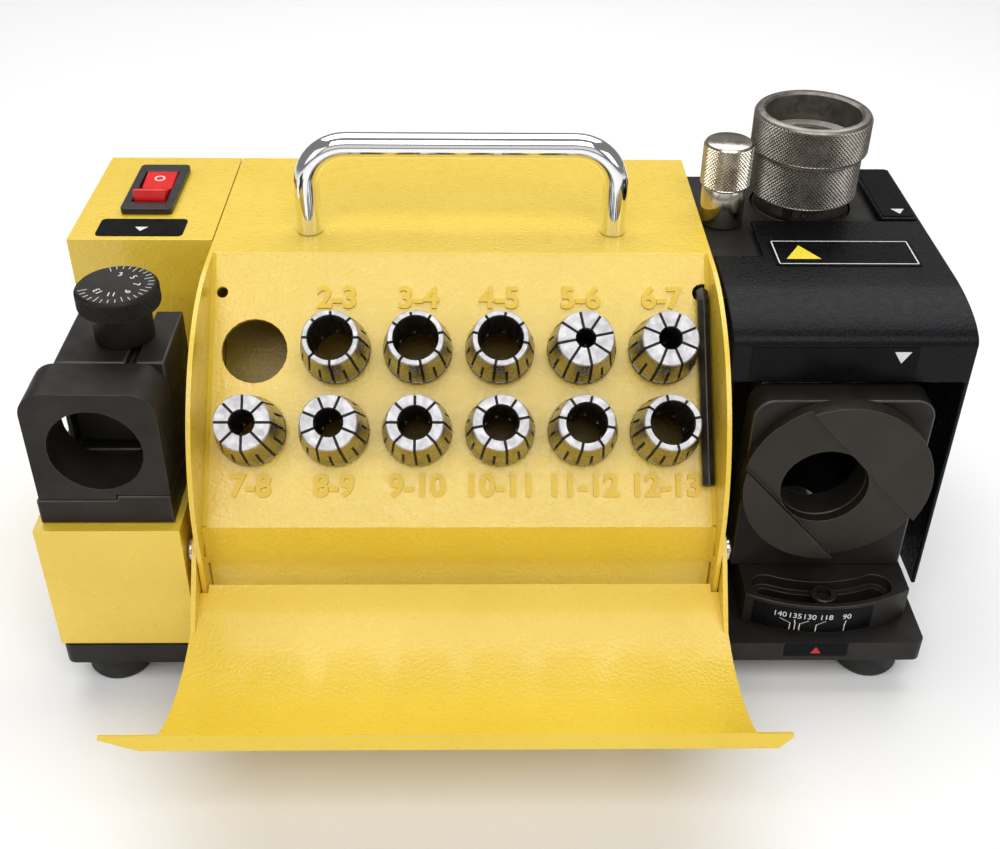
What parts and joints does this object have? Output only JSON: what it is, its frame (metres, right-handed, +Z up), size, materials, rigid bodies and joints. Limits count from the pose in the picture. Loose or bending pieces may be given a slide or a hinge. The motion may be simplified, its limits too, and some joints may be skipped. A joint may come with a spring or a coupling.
{
  "type": "drill bit sharpener",
  "caption": "Bench drill grinder with a carrying handle, a sloping collet rack under a swing-down cover, a setting gauge with a dial, and a grinding head with an angle seat and relief port.",
  "frame": {"origin": "on the bench under the middle of the machine's bounding box, with the rack cover open", "axes": "+X to the operator's right, +Y to the back, +Z up"},
  "size_m": [0.2764, 0.2088, 0.1518],
  "materials": {
    "yellow_paint": "glossy yellow stove enamel with a fine orange-peel texture",
    "dark_alloy": "dark grey anodised, machined and bead blasted",
    "black_sheet": "glossy black powder coat with a fine wrinkle",
    "chromed_bar": "polished chrome",
    "spring_steel": "ground bright steel",
    "nickel_knurl": "nickel plated with a fine diamond knurl",
    "blackened_steel": "dark phosphated steel",
    "foot_rubber": "matt black rubber",
    "black_plastic": "moulded black nylon",
    "red_plastic": "gloss red",
    "motor_paint": "grey paint",
    "wheel_grit": "bonded grit",
    "circuit_board": "green laminate"
  },
  "bodies": {
    "machine": {"base_plate": "dark_alloy", "foot_front_left": "foot_rubber", "foot_front_right": "foot_rubber", "foot_rear_left": "foot_rubber", "foot_rear_right": "foot_rubber", "motor_cover": "yellow_paint", "collet_rack": "yellow_paint", "rack_backing": "yellow_paint", "carry_handle": "chromed_bar", "handle_screw_left": "spring_steel", "handle_screw_right": "spring_steel", "switch_box": "yellow_paint", "switch_bezel": "black_plastic", "cord_gland": "black_plastic", "fuse_holder": "black_plastic", "rectifier_board": "circuit_board", "motor_can": "motor_paint", "motor_end_left": "motor_paint", "motor_end_right": "motor_paint", "bearing_left": "spring_steel", "bearing_right": "spring_steel", "motor_cradle": "dark_alloy", "head_housing": "dark_alloy", "relief_port": "blackened_steel", "seat_pivot": "spring_steel", "gauge_base": "dark_alloy", "gauge_plate": "dark_alloy", "gauge_block": "dark_alloy", "hinge_screw_left": "spring_steel", "hinge_screw_right": "spring_steel", "guard_screw_front": "spring_steel", "guard_screw_rear": "spring_steel"},
    "rack_lid": {"rack_cover": "yellow_paint"},
    "rocker": {"switch_rocker": "red_plastic"},
    "dial": {"web_dial": "dark_alloy"},
    "depth_stop": {"stop_plate": "dark_alloy"},
    "spindle": {"rotor": "spring_steel", "grinding_wheel": "wheel_grit", "wheel_collar": "spring_steel", "wheel_nut": "spring_steel"},
    "guard": {"guard_cover": "black_sheet"},
    "feed": {"feed_knob": "nickel_knurl"},
    "seat": {"seat_sector": "dark_alloy", "seat_plate": "dark_alloy", "seat_cam": "dark_alloy"},
    "seat_clamp": {"seat_clamp_screw": "blackened_steel"},
    "chuck": {"chuck_body": "blackened_steel"},
    "nut": {"chuck_nut": "blackened_steel"},
    "key": {"hex_key": "blackened_steel"},
    "collet_upper_2_body": {"collet_upper_2": "spring_steel"},
    "collet_upper_3_body": {"collet_upper_3": "spring_steel"},
    "collet_upper_4_body": {"collet_upper_4": "spring_steel"},
    "collet_upper_5_body": {"collet_upper_5": "spring_steel"},
    "collet_upper_6_body": {"collet_upper_6": "spring_steel"},
    "collet_lower_1_body": {"collet_lower_1": "spring_steel"},
    "collet_lower_2_body": {"collet_lower_2": "spring_steel"},
    "collet_lower_3_body": {"collet_lower_3": "spring_steel"},
    "collet_lower_4_body": {"collet_lower_4": "spring_steel"},
    "collet_lower_5_body": {"collet_lower_5": "spring_steel"},
    "collet_lower_6_body": {"collet_lower_6": "spring_steel"}
  },
  "joints": [
    {"name": "lid_swing", "type": "hinge", "parent": "machine", "child": "rack_lid", "pos_m": [-0.01505, -0.03958, 0.052], "axis": [1, 0, 0], "range_deg": [-117, 0]},
    {"name": "rocker_tilt", "type": "hinge", "parent": "machine", "child": "rocker", "pos_m": [-0.11695, 0.06422, 0.12], "axis": [1, 0, 0], "range_deg": [0, 18]},
    {"name": "dial_turn", "type": "hinge", "parent": "machine", "child": "dial", "pos_m": [-0.11205, -0.01158, 0.115], "axis": [0, 0, 1], "range_deg": [-150, 150]},
    {"name": "stop_travel", "type": "slide", "parent": "machine", "child": "depth_stop", "axis": [0, 1, 0], "range_m": [-0.003, 0.003]},
    {"name": "spindle_spin", "type": "hinge", "parent": "machine", "child": "spindle", "pos_m": [-0.01505, 0.04742, 0.061], "axis": [1, 0, 0], "continuous": true},
    {"name": "guard_lift", "type": "slide", "parent": "machine", "child": "guard", "axis": [0, 0, 1], "range_m": [0, 0.05]},
    {"name": "feed_turn", "type": "hinge", "parent": "machine", "child": "feed", "pos_m": [0.07075, 0.05442, 0.12], "axis": [0, 0, 1], "range_deg": [-180, 180]},
    {"name": "seat_swivel", "type": "hinge", "parent": "machine", "child": "seat", "pos_m": [0.09835, 0.00792, 0.025], "axis": [0, 0, 1], "range_deg": [-10, 9]},
    {"name": "clamp_turn", "type": "hinge", "parent": "machine", "child": "seat_clamp", "pos_m": [0.09835, -0.03658, 0.025], "axis": [0, 0, 1], "range_deg": [0, 360]},
    {"name": "chuck_lift", "type": "slide", "parent": "machine", "child": "chuck", "axis": [0, 0, 1], "range_m": [0, 0.06]},
    {"name": "nut_turn", "type": "hinge", "parent": "chuck", "child": "nut", "pos_m": [0.10025, 0.06842, 0.138], "axis": [0, 0, 1], "range_deg": [0, 720]},
    {"name": "key_lift", "type": "slide", "parent": "machine", "child": "key", "axis": [0, -0.7071, 0.7071], "range_m": [0, 0.03]},
    {"name": "collet_upper_2_lift", "type": "slide", "parent": "machine", "child": "collet_upper_2_body", "axis": [0, -0.7071, 0.7071], "range_m": [0, 0.04]},
    {"name": "collet_upper_3_lift", "type": "slide", "parent": "machine", "child": "collet_upper_3_body", "axis": [0, -0.7071, 0.7071], "range_m": [0, 0.04]},
    {"name": "collet_upper_4_lift", "type": "slide", "parent": "machine", "child": "collet_upper_4_body", "axis": [0, -0.7071, 0.7071], "range_m": [0, 0.04]},
    {"name": "collet_upper_5_lift", "type": "slide", "parent": "machine", "child": "collet_upper_5_body", "axis": [0, -0.7071, 0.7071], "range_m": [0, 0.04]},
    {"name": "collet_upper_6_lift", "type": "slide", "parent": "machine", "child": "collet_upper_6_body", "axis": [0, -0.7071, 0.7071], "range_m": [0, 0.04]},
    {"name": "collet_lower_1_lift", "type": "slide", "parent": "machine", "child": "collet_lower_1_body", "axis": [0, -0.7071, 0.7071], "range_m": [0, 0.04]},
    {"name": "collet_lower_2_lift", "type": "slide", "parent": "machine", "child": "collet_lower_2_body", "axis": [0, -0.7071, 0.7071], "range_m": [0, 0.04]},
    {"name": "collet_lower_3_lift", "type": "slide", "parent": "machine", "child": "collet_lower_3_body", "axis": [0, -0.7071, 0.7071], "range_m": [0, 0.04]},
    {"name": "collet_lower_4_lift", "type": "slide", "parent": "machine", "child": "collet_lower_4_body", "axis": [0, -0.7071, 0.7071], "range_m": [0, 0.04]},
    {"name": "collet_lower_5_lift", "type": "slide", "parent": "machine", "child": "collet_lower_5_body", "axis": [0, -0.7071, 0.7071], "range_m": [0, 0.04]},
    {"name": "collet_lower_6_lift", "type": "slide", "parent": "machine", "child": "collet_lower_6_body", "axis": [0, -0.7071, 0.7071], "range_m": [0, 0.04]}
  ],
  "couplings": [
    {"joint": "dial_turn", "follows": "stop_travel", "rad_per_m": 872.6}
  ]
}
